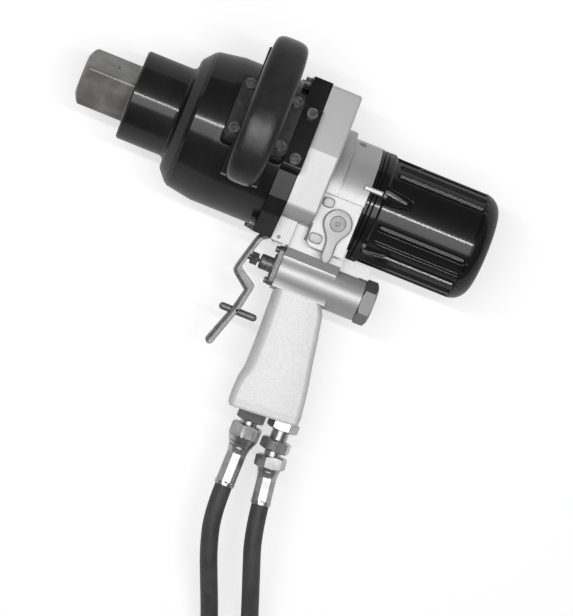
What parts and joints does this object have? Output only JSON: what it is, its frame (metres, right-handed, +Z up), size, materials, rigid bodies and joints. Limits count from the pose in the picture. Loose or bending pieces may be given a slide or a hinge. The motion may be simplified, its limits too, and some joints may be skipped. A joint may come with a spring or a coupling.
{
  "type": "hydraulic impact wrench",
  "caption": "Pistol-grip hydraulic impact wrench with a square drive, side loop handle, ribbed rear cover, trigger with safety catch, reversing lever and hose whips.",
  "frame": {"origin": "centre of the nose's front face on the output axis, with the tool lying on its side", "axes": "+X from the square drive towards the rear cover, -Y down the grip, +Z up, away from the surface that the tool lies on"},
  "size_m": [0.3743, 0.8239, 0.1904],
  "materials": {
    "black_paint": "satin black",
    "black_rubber": "moulded, satin",
    "black_steel": "black oxide",
    "bright_steel": "turned",
    "bronze": "turned bronze",
    "cast_silver": "fine cast, matt",
    "drive_steel": "machined, slightly blotchy",
    "gloss_black": "gloss black",
    "hose_rubber": "wrapped, matt",
    "inner_steel": "ground",
    "machined_silver": "machined",
    "seal_rubber": "smooth",
    "zinc": "zinc plated"
  },
  "bodies": {
    "housing": {"nose_bushing": "bronze", "nose_seal": "seal_rubber", "hammer_case": "black_paint", "case_bolts": "black_steel", "handle_saddle": "black_paint", "loop_handle": "black_rubber", "handle_clamps": "black_paint", "handle_screws": "black_steel", "shaft_bearing": "inner_steel", "shaft_seal": "seal_rubber", "front_plate": "machined_silver", "motor_housing": "cast_silver", "housing_plug": "bright_steel", "idler_shaft": "inner_steel", "gear_case": "cast_silver", "wear_plates": "bronze", "gear_end_plate": "cast_silver", "gear_screws": "inner_steel", "rear_cover": "gloss_black", "cover_screws": "black_steel", "cover_ring": "seal_rubber", "spool_sleeve": "inner_steel", "spool_bushing": "bright_steel", "cap_plate": "black_steel", "cap_screws": "black_steel", "hex_plug": "black_steel", "trigger_bracket": "cast_silver", "trigger_pivot_pin": "black_steel", "lever_stops": "bright_steel", "grip": "cast_silver", "port_adapters": "zinc", "outlet_union": "zinc", "hose_nuts": "zinc", "hose_ferrules": "zinc", "inlet_hose": "hose_rubber", "outlet_hose": "hose_rubber", "inlet_end_ferrule": "zinc", "outlet_end_ferrule": "zinc", "male_coupler": "zinc", "female_coupler": "zinc"},
    "anvil": {"anvil": "drive_steel", "retainer_spring": "inner_steel"},
    "retainer_pin": {"retainer_pin": "inner_steel"},
    "hammer_cage": {"hammer_cage": "inner_steel", "hammer_pins": "inner_steel", "drive_gear": "inner_steel"},
    "front_hammer": {"front_hammer": "inner_steel"},
    "rear_hammer": {"rear_hammer": "inner_steel"},
    "idler_gear": {"idler_gear": "inner_steel"},
    "trigger": {"trigger_lever": "black_steel", "adjusting_screw": "black_steel", "lock_nut": "black_steel", "catch_pin": "black_steel"},
    "safety_catch": {"safety_catch": "black_steel"},
    "valve_spool": {"valve_spool": "inner_steel", "spool_spring": "inner_steel"},
    "reversing_lever": {"reversing_lever": "bright_steel", "reversing_screw": "bright_steel", "reversing_valve": "inner_steel"},
    "coupler_sleeve": {"coupler_sleeve": "zinc"}
  },
  "joints": [
    {"name": "drive_spin", "type": "hinge", "parent": "housing", "child": "hammer_cage", "pos_m": [0.1, 0, 0], "axis": [1, 0, 0], "continuous": true},
    {"name": "anvil_spin", "type": "hinge", "parent": "housing", "child": "anvil", "pos_m": [0.03, 0, 0], "axis": [1, 0, 0], "continuous": true},
    {"name": "idler_spin", "type": "hinge", "parent": "housing", "child": "idler_gear", "pos_m": [0.23, -0.0255, 0], "axis": [1, 0, 0], "continuous": true},
    {"name": "front_hammer_swing", "type": "hinge", "parent": "hammer_cage", "child": "front_hammer", "pos_m": [0.085, 0.0475, 0], "axis": [1, 0, 0], "range_deg": [-5, 5]},
    {"name": "rear_hammer_swing", "type": "hinge", "parent": "hammer_cage", "child": "rear_hammer", "pos_m": [0.113, -0.0475, 0], "axis": [1, 0, 0], "range_deg": [-5, 5]},
    {"name": "retainer_press", "type": "slide", "parent": "anvil", "child": "retainer_pin", "axis": [0, -0.866, -0.5], "range_m": [0, 0.0015], "stiffness_N_per_m": 400, "springref_m": -0.0005},
    {"name": "trigger_squeeze", "type": "hinge", "parent": "housing", "child": "trigger", "pos_m": [0.1579, -0.0653, 0], "axis": [0, 0, 1], "range_deg": [0, 10], "stiffness_Nm_per_rad": 1.5, "springref_deg": -8.59},
    {"name": "catch_swing", "type": "hinge", "parent": "trigger", "child": "safety_catch", "pos_m": [0.15, -0.1362, 0], "axis": [0, 0, 1], "range_deg": [0, 80]},
    {"name": "spool_slide", "type": "slide", "parent": "housing", "child": "valve_spool", "axis": [1, 0, 0], "range_m": [0, 0.0044]},
    {"name": "reversing_turn", "type": "hinge", "parent": "housing", "child": "reversing_lever", "pos_m": [0.1988, -0.0371, 0.0445], "axis": [0, 0, 1], "range_deg": [0, 60]},
    {"name": "sleeve_draw", "type": "slide", "parent": "housing", "child": "coupler_sleeve", "axis": [0.1789, 0.9839, 0], "range_m": [0, 0.004], "stiffness_N_per_m": 300, "springref_m": -0.001}
  ],
  "couplings": [
    {"joint": "anvil_spin", "follows": "drive_spin", "ratio": 1},
    {"joint": "idler_spin", "follows": "drive_spin", "ratio": -1},
    {"joint": "catch_swing", "follows": "trigger_squeeze", "ratio": 8},
    {"joint": "spool_slide", "follows": "trigger_squeeze", "m_per_rad": 0.0251}
  ]
}
